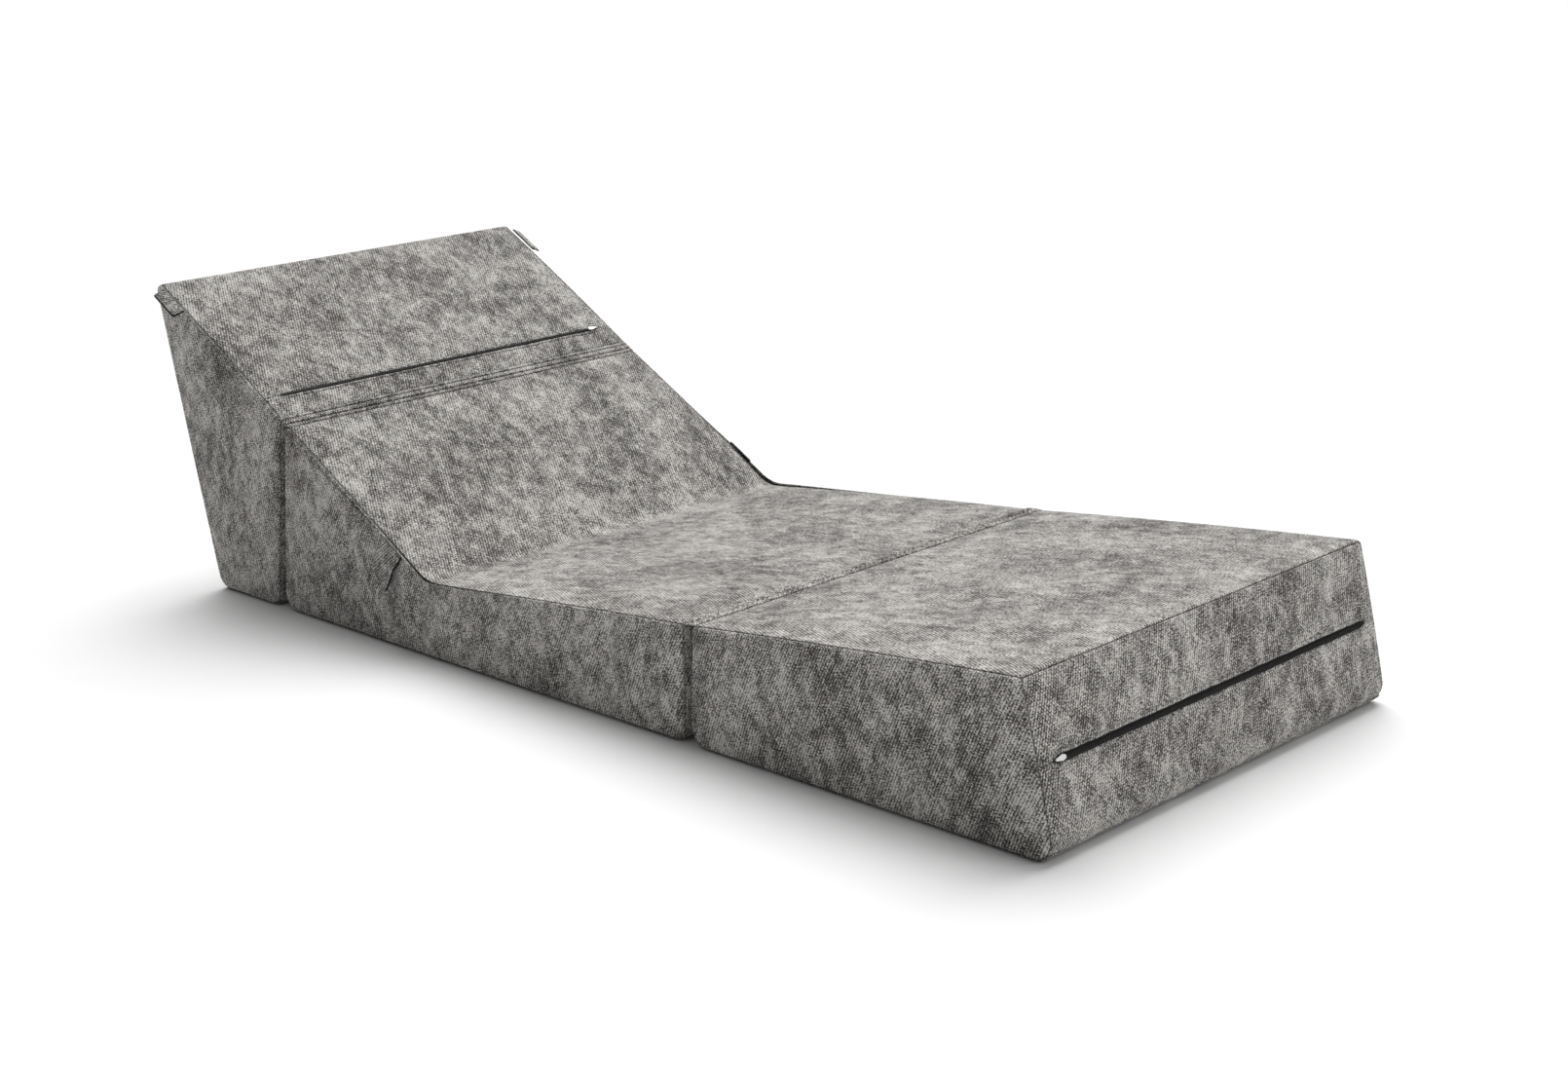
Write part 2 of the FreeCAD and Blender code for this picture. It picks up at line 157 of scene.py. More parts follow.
class Outline:
    """Side profile of a block: bowed sides and rounded corners, anticlockwise."""

    def __init__(self, corners):
        count = len(corners)
        arcs = []
        for i in range(count):
            name, radius, _ = corners[i]
            here = SPOTS[name]
            into = unit(here - SPOTS[corners[i - 1][0]])
            out = unit(SPOTS[corners[(i + 1) % count][0]] - here)
            turn = math.atan2(into[0] * out[1] - into[1] * out[0], into @ out)
            run = radius * math.tan(abs(turn) / 2)
            side = 1 if turn > 0 else -1
            centre = here - into * run + side * radius * np.array([-into[1], into[0]])
            arm = here - into * run - centre
            angles = np.linspace(0, turn, 33)
            arcs.append(np.stack([arm[0] * np.cos(angles) - arm[1] * np.sin(angles),
                                  arm[0] * np.sin(angles) + arm[1] * np.cos(angles)], 1) + centre)
        points = [arcs[0][16:]]
        marks = [0]
        for i in range(count):
            following = arcs[(i + 1) % count]
            start, end = arcs[i][-1], following[0]
            long = np.linalg.norm(end - start)
            t = np.linspace(0, 1, max(8, int(long / 0.002)))[1:-1, None]
            step = unit(end - start)
            bow = corners[i][2] * 4 * t * (1 - t)
            points.append(start + (end - start) * t + np.array([step[1], -step[0]]) * bow)
            if i + 1 < count:
                marks.append(sum(len(p) for p in points) + 16)
                points.append(following)
        points.append(arcs[0][:17])
        line = np.vstack(points)
        gaps = np.linalg.norm(np.diff(line, axis=0), axis=1)
        keep = np.concatenate([[True], gaps > 1e-9])
        s = np.concatenate([[0], np.cumsum(gaps)])
        self.marks = [s[m] for m in marks] + [s[-1]]
        self.line, self.s = line[keep], s[keep]
        self.length = self.s[-1]
        ring = np.vstack([self.line[-2], self.line, self.line[1]])
        along = ring[2:] - ring[:-2]
        along /= np.linalg.norm(along, axis=1)[:, None]
        self.normal = np.stack([along[:, 1], -along[:, 0]], 1)

    def at(self, s):
        s = np.mod(s, self.length) if np.max(s) > self.length or np.min(s) < 0 else s
        p = np.stack([np.interp(s, self.s, self.line[:, k]) for k in (0, 1)], -1)
        n = np.stack([np.interp(s, self.s, self.normal[:, k]) for k in (0, 1)], -1)
        return p, n / np.linalg.norm(n, axis=-1, keepdims=True)

    def from_corner(self, corner, toward, distance):
        spot = SPOTS[corner] + unit(SPOTS[toward] - SPOTS[corner]) * distance
        return self.s[np.argmin(np.linalg.norm(self.line - spot, axis=1))]


HEAD = Outline([("head_rear_floor", FLOOR_CORNER, 0), ("head_front_floor", FLOOR_CORNER, UPRIGHT_BOW),
                ("head_front_top", 0.0095, TOP_BOW), ("head_tip", 0.012, MEETING_BOW)])
SEAT = Outline([("seat_rear_floor", FLOOR_CORNER, 0), ("seat_front_floor", FLOOR_CORNER, UPRIGHT_BOW),
                ("seat_front_top", 0.0095, TOP_BOW), ("crease", 0.060, TOP_BOW),
                ("seat_back_top", 0.0095, UPRIGHT_BOW)])
FOOT = Outline([("foot_rear_floor", FLOOR_CORNER, 0), ("foot_front_floor", FLOOR_CORNER, MEETING_BOW),
                ("foot_front_top", 0.010, TOP_BOW), ("foot_rear_top", 0.0095, UPRIGHT_BOW)])
OUTLINES = {"head": HEAD, "seat": SEAT, "foot": FOOT}
FLAT = HALF - RIM
SEAM_Q = FLAT + RIM * math.asin((SEAM_Y - FLAT) / RIM)
RIM_Q = FLAT + RIM * math.pi / 2


def on_skin(outline, s, q):
    """Places and outward normals on a block; q counts along the cloth from the middle."""
    s, q = np.broadcast_arrays(s, q)
    over = np.clip(np.abs(q) - FLAT, 0, None) / RIM
    sign = np.where(q < 0, -1.0, 1.0)
    p, n = outline.at(s)
    drop = RIM * (1 - np.cos(over))
    place = np.stack([p[..., 0] - n[..., 0] * drop,
                      sign * (np.minimum(np.abs(q), FLAT) + RIM * np.sin(over)),
                      p[..., 1] - n[..., 1] * drop], -1)
    normal = np.stack([n[..., 0] * np.cos(over), sign * np.sin(over),
                       n[..., 1] * np.cos(over)], -1)
    return place, normal


def rows_between(start, end, step, edge=(0.0007, 0.0014, 0.0024, 0.0038, 0.006, 0.010)):
    """Positions from start to end, close together at both ends."""
    long = end - start
    count = max(2, round((long - 2 * edge[-1]) / step))
    inner = np.arange(1, count) * (long - 2 * edge[-1]) / count + edge[-1]
    near = np.array((0.0,) + tuple(edge))
    return start + np.concatenate([near, inner, (long - near)[::-1]])


def soft_noise(places, size, seed):
    """Smooth noise from -1 to 1 at each place, with features of about that size."""
    flat = places.reshape(-1, 3) / size
    shift = Vector((seed * 7.3, seed * 3.1, seed * 5.7))
    values = [noise.noise(Vector(p) + shift) for p in flat.tolist()]
    return np.array(values).reshape(places.shape[:-1])


PUCKER_HEIGHT, PUCKER_PITCH, PUCKER_REACH, PUCKER_GROUPS = 0.0002, 0.0172, 0.009, 0.13


def seam_dip(gap):
    return -SEAM_DEPTH * np.exp(-(gap / SEAM_WIDTH) ** 2)


def puckers(gap, along, seed):
    """Small gathers beside a seam, fading away from it."""
    wave = np.sin(along * 2 * math.pi / PUCKER_PITCH + 3 * np.sin(along * 31 + seed))
    groups = 0.5 + 0.5 * np.sin(along * 2 * math.pi / PUCKER_GROUPS + seed * 1.7)
    fade = np.exp(-(gap / PUCKER_REACH) ** 2) * (1 - np.exp(-(gap / 0.001)))
    return PUCKER_HEIGHT * wave * groups * fade


# Meshes
def make_object(name, verts, faces, layers=None, smooth=True):
    """Mesh object; layers are its named flat coordinates, one pair for each vertex."""
    mesh = bpy.data.meshes.new(name)
    mesh.from_pydata(verts.tolist(), [], faces.tolist() if hasattr(faces, "tolist") else faces)
    loops = np.zeros(len(mesh.loops), np.int64)
    mesh.loops.foreach_get("vertex_index", loops)
    for title, uv in (layers or {}).items():
        layer = mesh.uv_layers.new(name=title)
        layer.data.foreach_set("uv", uv.reshape(-1, 2)[loops].astype(np.float32).ravel())
    if smooth:
        mesh.polygons.foreach_set("use_smooth", [True] * len(mesh.polygons))
    mesh.update()
    obj = bpy.data.objects.new(name, mesh)
    bpy.context.scene.collection.objects.link(obj)
    return obj


def grid_faces(rows, cols, flip=False, start=0):
    a = (np.arange(rows - 1)[:, None] * cols + np.arange(cols - 1)[None, :]).ravel() + start
    quads = np.stack([a, a + 1, a + cols + 1, a + cols], 1)
    return quads[:, ::-1] if flip else quads


def faces_outwards(points, normals):
    """Whether a grid's quads, rows first, turn the right way for its normals."""
    i, j = points.shape[0] // 2, points.shape[1] // 2
    a, b, c = points[i, j], points[i, j + 1], points[i + 1, j]
    return np.dot(np.cross(b - a, c - a), normals[i, j]) > 0


def sheet_object(name, top, under, normal, layers):
    """Closed thin sheet: two grids of places, and a wall between their edges."""
    rows, cols = top.shape[:2]
    count = rows * cols
    flip = not faces_outwards(top, np.broadcast_to(normal, top.shape))
    grid = np.arange(count).reshape(rows, cols)
    loop = np.concatenate([grid[0, :-1], grid[:-1, -1], grid[-1, :0:-1], grid[:0:-1, 0]])
    ahead = np.roll(loop, -1)
    wall = np.stack([loop, ahead, ahead + count, loop + count], 1)
    faces = np.vstack([grid_faces(rows, cols, flip), grid_faces(rows, cols, not flip, count),
                       wall[:, ::-1] if flip else wall])
    layers = {title: np.vstack([pair, pair]) for title, pair in layers.items()}
    return make_object(name, np.vstack([top.reshape(-1, 3), under.reshape(-1, 3)]), faces, layers)


# Side patches
def run_samples(outline, start, end, count):
    """Positions along an outline, closer together where it turns."""
    fine = np.linspace(start, end, 800)
    _, n = outline.at(np.clip(fine, 0, outline.length - 1e-9))
    bend = np.linalg.norm(np.diff(n, axis=0), axis=1)
    weight = np.concatenate([[0], np.cumsum(np.diff(fine) + 0.018 * bend)])
    return np.interp(np.linspace(0, weight[-1], count), weight, fine)


def side_grid(outline, marks, counts):
    """Positions all round the outline, in four runs."""
    runs = [run_samples(outline, marks[k], marks[k + 1], counts[k % 2]) for k in range(4)]
    return np.concatenate([run[:-1] for run in runs])


def patch(edge, counts):
    """Grid of points inside a closed edge of four runs, and its border's indices."""
    across, high = counts
    e = [0, across - 1, across + high - 2, 2 * across + high - 3, len(edge)]
    closed = np.vstack([edge, edge[:1]])
    b, f = closed[e[0]:e[1] + 1], closed[e[1]:e[2] + 1]
    t, r = closed[e[2]:e[3] + 1][::-1], closed[e[3]:e[4] + 1][::-1]
    a = np.linspace(0, 1, across)[:, None, None]
    c = np.linspace(0, 1, high)[None, :, None]
    inside = ((1 - c) * b[:, None] + c * t[:, None] + (1 - a) * r[None] + a * f[None]
              - (1 - a) * (1 - c) * b[0] - a * (1 - c) * b[-1]
              - (1 - a) * c * t[0] - a * c * t[-1])
    grid = np.arange(across * high).reshape(across, high)
    border = np.concatenate([grid[:-1, 0], grid[-1, :-1], grid[:0:-1, -1], grid[0, :0:-1]])
    return inside.reshape(-1, 3), border


# How far each face of the covers stands off the foam
def swell_top(gap, places):
    """Faces that meet another block when folded stay within the foam's own form."""
    wander = 0.00035 * soft_noise(places, 0.075, 3) + 0.0002 * soft_noise(places, 0.028, 9)
    drawn = DRAWN_IN * np.exp(-gap / 0.030) + SHOULDER * np.exp(-gap / 0.009)
    return wander * (1 - np.exp(-gap / 0.02)) - drawn


def swell_floor(gap, places):
    return np.zeros_like(gap)


# Room for a seat tab: half its length, its start and end below the seam, and the fade
TAB_SEAMS = {joint["child"]: np.array(joint["pos_m"]) for joint in frame["joints"]
             if joint["name"].endswith("_flap")}
SHELTER_HALF, SHELTER_START, SHELTER_END, SHELTER_FADE = 0.029, -0.004, 0.067, 0.025


def tab_shelter(places):
    """1 where a seat tab hangs against the side, falling to 0 round it."""
    arm = (places - TAB_SEAMS["seat_tab_right"]) * np.array([1, 0, 1])
    past = np.maximum(np.abs(arm @ ALONG_SLOPE) - SHELTER_HALF, 0)
    below = arm @ -SLOPE_NORMAL
    off = np.maximum(np.maximum(SHELTER_START - below, below - SHELTER_END), 0)
    near = np.clip(1 - np.hypot(past, off) / SHELTER_FADE, 0, 1)
    return near ** 2 * (3 - 2 * near)


def swell_side(gap, places):
    wander = 0.0007 * soft_noise(places, 0.085, 5) + 0.00035 * soft_noise(places, 0.030, 2)
    return (SIDE_SWELL * (1 - np.exp(-gap / 0.040)) - 0.0008 - SHOULDER * np.exp(-gap / 0.009)
            + wander * (1 - np.exp(-gap / 0.02)))


HEAD_ZIP = HEAD.from_corner("head_front_top", "head_tip", 0.0495)
FOOT_ZIP = FOOT.from_corner("foot_front_top", "foot_front_floor", 0.106)
SEAT_ZIP = SEAT.from_corner("seat_back_top", "seat_rear_floor", 0.165)
NARROW, WIDE = 0.0030, 0.0048
HEM_NARROW, HEM_WIDE = 0.0062, 0.0056

hm, sm, fm = HEAD.marks, SEAT.marks, FOOT.marks
# Name, block, from seam, to seam, swell, edge on a zip as (end, half slot, hem), node it shows
PANELS = [
    ("head_base_panel", "head", hm[0], hm[1], swell_floor, None, "head_base"),
    ("head_front_panel", "head", hm[1], hm[2], swell_top, None, "head_front"),
    ("head_slope_band_panel", "head", hm[2], HEAD_ZIP - NARROW, swell_top,
     ("end", NARROW, HEM_NARROW), "head_slope_band"),
    ("head_slope_panel", "head", HEAD_ZIP + NARROW, hm[3], swell_top,
     ("start", NARROW, HEM_NARROW), "head_slope_main"),
    ("head_backrest_panel", "head", hm[3], hm[4], swell_top, None, "head_backrest"),
    ("seat_base_panel", "seat", sm[0], sm[1], swell_floor, None, "seat_base"),
    ("seat_front_panel", "seat", sm[1], sm[2], swell_top, None, "seat_front"),
    ("seat_top_panel", "seat", sm[2], sm[4], swell_top, None, "seat_top"),
    ("seat_rear_upper_panel", "seat", sm[4], SEAT_ZIP - NARROW, swell_top,
     ("end", NARROW, HEM_NARROW), "seat_rear_upper"),
    ("seat_rear_lower_panel", "seat", SEAT_ZIP + NARROW, sm[5], swell_top,
     ("start", NARROW, HEM_NARROW), "seat_rear_lower"),
    ("foot_base_panel", "foot", fm[0], fm[1], swell_floor, None, "foot_base"),
    ("foot_front_lower_panel", "foot", fm[1], FOOT_ZIP - WIDE, swell_top,
     ("end", WIDE, HEM_WIDE), "foot_front_lower"),
    ("foot_front_upper_panel", "foot", FOOT_ZIP + WIDE, fm[2], swell_top,
     ("start", WIDE, HEM_WIDE), "foot_front_upper"),
    ("foot_top_panel", "foot", fm[2], fm[3], swell_top, None, "foot_top"),
    ("foot_rear_panel", "foot", fm[3], fm[4], swell_top, None, "foot_rear"),
]
# Block, seams at its four corners, grid points along and up
SIDES = [("head", hm, (52, 72)),
         ("seat", sm[:3] + sm[4:], (130, 40)),
         ("foot", fm, (96, 34))]


# Cloth simulation of the covers
def coarse_islands():
    """Even grids for the panels that swell: places and normals by name."""
    islands = {}
    for name, block, start, end, swell, *_ in PANELS:
        if swell is swell_floor:
            continue
        rows = max(5, round((end - start) / SIM_CELL) + 1)
        cols = round(2 * SEAM_Q / SIM_CELL) + 1
        s, q = np.meshgrid(np.linspace(start, end, rows), np.linspace(-SEAM_Q, SEAM_Q, cols),
                           indexing="ij")
        islands[name] = on_skin(OUTLINES[block], s, q)
    for block, marks, counts in SIDES:
        cells = tuple(round(count * 0.007 / SIM_CELL) for count in counts)
        for side, word in ((-1, "right"), (1, "left")):
            s = side_grid(OUTLINES[block], marks, cells)
            edge, _ = on_skin(OUTLINES[block], s, np.full(len(s), side * RIM_Q))
            places = patch(edge, cells)[0].reshape(*cells, 3)
            normals = np.broadcast_to(np.array([0.0, side, 0.0]), places.shape)
            islands[f"{block}_{word}_side_panel"] = (places, normals)
    return islands


def simulated_rise():
    """How far light pressure lifts every panel, held all round by its seams."""
    islands = coarse_islands()
    verts, faces, pinned, spans = [], [], [], {}
    total = 0
    for name, (places, normals) in islands.items():
        rows, cols = places.shape[:2]
        faces.append(grid_faces(rows, cols, not faces_outwards(places, normals), total))
        verts.append(places.reshape(-1, 3))
        border = np.zeros((rows, cols), bool)
        border[[0, -1]] = border[:, [0, -1]] = True
        pinned.extend((np.flatnonzero(border) + total).tolist())
        spans[name] = (total, total + rows * cols)
        total += rows * cols
    skin = make_object("covers_simulated", np.vstack(verts), np.vstack(faces))
    skin.vertex_groups.new(name="seams").add(pinned, 1.0, "REPLACE")
    cloth = skin.modifiers.new("cloth", "CLOTH")
    settings = cloth.settings
    settings.vertex_group_mass = "seams"
    for title, value in CLOTH.items():
        setattr(settings, title, value)
    settings.effector_weights.gravity = 0
    cloth.collision_settings.use_collision = False
    cloth.point_cache.frame_start = 1
    cloth.point_cache.frame_end = SIM_FRAMES
    scene = bpy.context.scene
    for step in range(1, SIM_FRAMES + 1):
        scene.frame_set(step)
    evaluated = skin.evaluated_get(bpy.context.evaluated_depsgraph_get())
    moved = np.zeros(total * 3)
    evaluated.data.vertices.foreach_get("co", moved)
    moved = moved.reshape(-1, 3)
    rise = {}
    for name, (places, normals) in islands.items():
        start, end = spans[name]
        rise[name] = ((moved[start:end].reshape(places.shape) - places) * normals).sum(-1)
    bpy.data.objects.remove(skin)
    scene.frame_set(1)
    return rise


def spline_weights(new, count):
    """Smooth weights that carry an evenly spaced row of values to positions 0 to 1."""
    t = np.abs(np.clip(new, 0, 1)[:, None] * (count - 1) - np.arange(count)[None, :])
    near = (4 - 6 * t ** 2 + 3 * t ** 3) / 6
    far = np.clip(2 - t, 0, None) ** 3 / 6
    weights = np.where(t < 1, near, far)
    return weights / weights.sum(1, keepdims=True)


def wrinkles_of(rise, rows, cols):
    """Simulated wrinkles, without their broad swell, at rows and cols from 0 to 1."""
    reach = 8
    kernel = np.exp(-0.5 * (np.arange(-reach, reach + 1) * SIM_CELL / WRINKLE_SIZE) ** 2)
    kernel /= kernel.sum()
    broad = rise
    for axis in (0, 1):
        pad = [(reach, reach) if k == axis else (0, 0) for k in (0, 1)]
        long = np.pad(broad, pad, mode="edge")
        broad = np.apply_along_axis(lambda row: np.convolve(row, kernel, "valid"), axis, long)
    fold = WRINKLE_CAP * np.tanh((rise - broad) / WRINKLE_CAP)
    return spline_weights(rows, fold.shape[0]) @ fold @ spline_weights(cols, fold.shape[1]).T


RISE = simulated_rise()


# Cloth panels round the girth of a block
def girth_panel(name, block, s_start, s_end, swell, lip, seed):
    """Panel from one seam to another; lip tells of an edge that lies on a zip."""
    outline = OUTLINES[block]
    s = rows_between(s_start, s_end, 0.007)
    q = rows_between(-SEAM_Q, SEAM_Q, 0.008)
    s_grid, q_grid = np.meshgrid(s, q, indexing="ij")
    at_start = bool(lip) and lip[0] == "start"
    at_end = bool(lip) and lip[0] == "end"
    if lip:
        share = (s_grid - s_start) / (s_end - s_start)
        share = 1 - share if at_start else share
        close = np.clip((np.abs(q_grid) - ZIP_HALF) / SLOT_CLOSING + 1, 0, 1)
        wave = 0.0003 * np.sin(q_grid * 47 + seed) + 0.0002 * np.sin(q_grid * 131 + 2 * seed)
        pull = (lip[1] - 0.0002) * close ** 2 + wave * (1 - close)
        s_grid = s_grid + (share ** 4 * pull if at_end else -share ** 4 * pull)
    places, normals = on_skin(outline, s_grid, q_grid)
    from_side = SEAM_Q - np.abs(q_grid)
    flat_s = np.broadcast_to(s[:, None], s_grid.shape)
    hidden = (outline.marks[0], outline.marks[1], outline.marks[-1])
    from_ends = [np.full(s_grid.shape, 1.0)]
    from_ends += [] if at_start or s_start in hidden else [flat_s - s_start]
    from_ends += [] if at_end or s_end in hidden else [s_end - flat_s]
    from_end = np.minimum.reduce(from_ends)
    inside = np.minimum(from_side, from_end)
    lift = swell(inside, places)
    if name in RISE:
        folds = wrinkles_of(RISE[name], (s - s[0]) / (s[-1] - s[0]), (q - q[0]) / (q[-1] - q[0]))
        lift = lift + folds * (1 - np.exp(-inside / 0.012))
    for gap, along in ((from_side, flat_s), (from_end, q_grid)):
        lift = lift + seam_dip(gap) + puckers(gap, along, seed)
    from_zip = np.full(s_grid.shape, 1.0)
    if lip:
        from_zip = flat_s - s_start if at_start else s_end - flat_s
        for height, centre, width in ((-0.0008, 0, 0.0010), (-0.0007, lip[2], 0.0012),
                                      (0.0007, 0.0030, 0.0018)):
            lift = lift + height * np.exp(-((from_zip - centre) / width) ** 2)
    if swell is swell_top and np.max(lift) > TOP_LIMIT:
        lift = TOP_LIMIT - TOP_SOFTNESS * np.logaddexp(0, (TOP_LIMIT - lift) / TOP_SOFTNESS)
    places = places + normals * lift[..., None]
    uv = np.stack([q_grid + seed * 0.817, flat_s + seed * 0.553], -1)
    # Distances from the seams and from the zip's stitch line; the cover paints shade along them
    side_seam = np.stack([from_side, flat_s], -1)
    end_seam = np.stack([from_end, q_grid], -1)
    zip_edge = np.stack([from_zip, q_grid], -1)
    stack = np.concatenate([places, normals, uv, side_seam, end_seam, zip_edge], -1)

    def turned_in(axis, last, hem):
        """Rows that go in under an edge: a seam allowance, or the hem along a zip."""
        index = -1 if last else 0
        base = np.take(stack, index, axis)
        toward = np.take(stack, -2 if last else 1, axis)[..., :3] - base[..., :3]
        toward /= np.linalg.norm(toward, axis=-1, keepdims=True)
        rows = []
        for depth, back in ((0.0009, 0.0), (0.0016, 0.0004), (0.0017, 0.006)) if hem \
                else ((TUCK, 0.0003),):
            row = base.copy()
            row[..., :3] += toward * back - base[..., 3:6] * depth
            rows.append(row)
        rows = np.stack(rows if last else rows[::-1], axis)
        return np.concatenate((stack, rows) if last else (rows, stack), axis)

    stack = turned_in(0, False, at_start)
    stack = turned_in(0, True, at_end)
    stack = turned_in(1, False, False)
    stack = turned_in(1, True, False)
    stack[..., 2] = np.maximum(stack[..., 2], LEAST_HEIGHT)
    rows, cols = stack.shape[:2]
    flip = not faces_outwards(stack[..., :3], stack[..., 3:6])
    layers = {"cloth": stack[..., 6:8], "side_seam": stack[..., 8:10],
              "end_seam": stack[..., 10:12], "zip_edge": stack[..., 12:14]}
    obj = make_object(name, stack[..., :3].reshape(-1, 3), grid_faces(rows, cols, flip), layers)
    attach(obj, block + "_block")
    return obj


def side_panel(name, block, side, seed, marks, counts):
    """Panel on one side of a block: from the seam round the rim, then flat inside."""
    outline = OUTLINES[block]
    s = side_grid(outline, marks, counts)
    depth = np.array([0, 0.0007, 0.0014, 0.0024, 0.0038, 0.0058, 0.0078])
    q = SEAM_Q + depth / depth[-1] * (RIM_Q - SEAM_Q)
    ring, ring_normal = on_skin(outline, s[None, :], (side * q)[:, None])
    edge = ring[-1]
    inside, border = patch(edge, counts)
    around, loops = len(s), len(q)
    rows = [ring[0] - ring_normal[0] * TUCK]
    for k in range(loops - 1):
        gap = np.full(around, depth[k])
        lift = swell_side(gap, ring[k]) + seam_dip(gap) + puckers(gap, s, seed)
        rows.append(ring[k] + ring_normal[k] * lift[:, None])
    distance = np.full(len(inside), 1.0)
    nearest = np.zeros(len(inside))
    for start in range(0, len(inside), 2000):
        part = inside[start:start + 2000, None, ::2] - edge[None, :, ::2]
        part = np.linalg.norm(part, axis=2)
        distance[start:start + 2000] = part.min(1)
        nearest[start:start + 2000] = s[part.argmin(1)]
    gap = distance + depth[-1]
    bulge = swell_side(gap, inside) + puckers(gap, nearest, seed)
    folds = wrinkles_of(RISE[name], np.linspace(0, 1, counts[0]), np.linspace(0, 1, counts[1]))
    bulge = bulge + 1.6 * folds.ravel() * (1 - np.exp(-distance / 0.012))
    if block == "seat":
        bulge = bulge * (1 - tab_shelter(inside)) - 0.0006 * tab_shelter(inside)
    points = np.vstack(rows + [inside + np.array([0, side, 0]) * bulge[:, None]])
    i = np.arange(around)
    j = (i + 1) % around
    faces = [np.stack([k * around + i, k * around + j, (k + 1) * around + j,
                       (k + 1) * around + i], 1) for k in range(loops - 1)]
    last = (loops - 1) * around
    inner = border + loops * around
    faces.append(np.stack([last + i, last + j, inner[j], inner[i]], 1))
    faces.append(grid_faces(*counts, True, loops * around))
    faces = np.vstack(faces)
    if side > 0:
        faces = faces[:, ::-1]
    edge_normal = outline.at(s)[1]
    stretch = np.concatenate([[-TUCK], depth[:-1]]) - depth[-1]
    xz = np.vstack([edge[:, ::2] - edge_normal * g for g in stretch] + [inside[:, ::2]])
    uv = np.stack([-side * xz[:, 0] + seed * 0.61, xz[:, 1] + seed * 0.43], 1)
    # Distance from the seam round the rim; the cover paints shade along it
    gaps = np.concatenate([np.repeat(np.concatenate([[0], depth[:-1]]), around), gap])
    along = np.concatenate([np.tile(s, loops), nearest])
    far = np.ones((len(uv), 2))
    layers = {"cloth": uv, "side_seam": np.stack([gaps, along], 1), "end_seam": far,
              "zip_edge": far}
    points[:, 2] = np.maximum(points[:, 2], LEAST_HEIGHT)
    obj = make_object(name, points, faces, layers)
    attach(obj, block + "_block")
    return obj


# Foam cores
FOAM_INSET, FOAM_CHAMFER = 0.006, 0.004


def foam_core(block, marks, counts):
    """Closed block of foam, a little inside its cover."""
    outline = OUTLINES[block]
    s = side_grid(outline, marks, counts)
    p, n = outline.at(s)
    half = HALF - FOAM_INSET
    flat = half - FOAM_CHAMFER
    verts, faces = [], []
    for y, shrink in ((-half, FOAM_CHAMFER), (-flat, 0), (flat, 0), (half, FOAM_CHAMFER)):
        edge = p - n * (FOAM_INSET + shrink)
        verts.append(np.stack([edge[:, 0], np.full(len(s), y), edge[:, 1]], 1))
    around = len(s)
    i = np.arange(around)
    j = (i + 1) % around
    for k in range(3):
        faces.append(np.stack([k * around + i, (k + 1) * around + i,
                               (k + 1) * around + j, k * around + j], 1))
    for k, flip in ((0, True), (3, False)):
        inside, border = patch(verts[k], counts)
        start = sum(len(v) for v in verts)
        verts.append(inside)
        ring = np.stack([k * around + i, k * around + j, start + border[j], start + border[i]], 1)
        cap = np.vstack([ring, grid_faces(*counts, True, start)])
        faces.append(cap if flip else cap[:, ::-1])
    obj = make_object(block + "_foam_core", np.vstack(verts), np.vstack(faces), smooth=False)
    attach(obj, block + "_block")
    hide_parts(block + "_foam")
    return obj


# Stitches
def thread_runs(name, starts, ends, normals, body, arch=0.0002):
    """Short bowed threads from starts to ends."""
    rings = np.array([0.0, 0.15, 0.5, 0.85, 1.0])
    girths = np.array([0.3, 0.9, 1.0, 0.9, 0.3])
    sides = 5
    angles = np.arange(sides) * 2 * math.pi / sides
    along = ends - starts
    along = along / np.linalg.norm(along, axis=1, keepdims=True)
    across = np.cross(normals, along)
    centre = starts[:, None] + (ends - starts)[:, None] * rings[None, :, None] \
        + normals[:, None] * (arch * (1 - 4 * (rings - 0.5) ** 2))[None, :, None]
    spoke = across[:, None] * np.cos(angles)[None, :, None] \
        + normals[:, None] * np.sin(angles)[None, :, None]
    verts = centre[:, :, None] + spoke[:, None] * (THREAD_RADIUS * girths)[None, :, None, None]
    count = len(starts)
    base = np.arange(count)[:, None, None] * 5 * sides
    k = np.arange(4)[None, :, None] * sides
    a = np.arange(sides)[None, None, :]
    b = (a + 1) % sides
    quads = np.stack(np.broadcast_arrays(base + k + a, base + k + b, base + k + sides + b,
                                         base + k + sides + a), -1).reshape(-1, 4)
    obj = make_object(name, verts.reshape(-1, 3), quads)
    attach(obj, body)
    return obj


def stitch_row(name, places, normals, body):
    """Row of thread stitches that lie along a line of places."""
    gaps = np.linalg.norm(np.diff(places, axis=0), axis=1)
    s = np.concatenate([[0], np.cumsum(gaps)])
    starts = np.arange(STITCH_PITCH / 2, s[-1] - STITCH_LENGTH, STITCH_PITCH)

    def pick(at, values):
        return np.stack([np.interp(at, s, values[:, k]) for k in range(3)], 1)

    return thread_runs(name, pick(starts, places), pick(starts + STITCH_LENGTH, places),
                       pick(starts + STITCH_LENGTH / 2, normals), body)


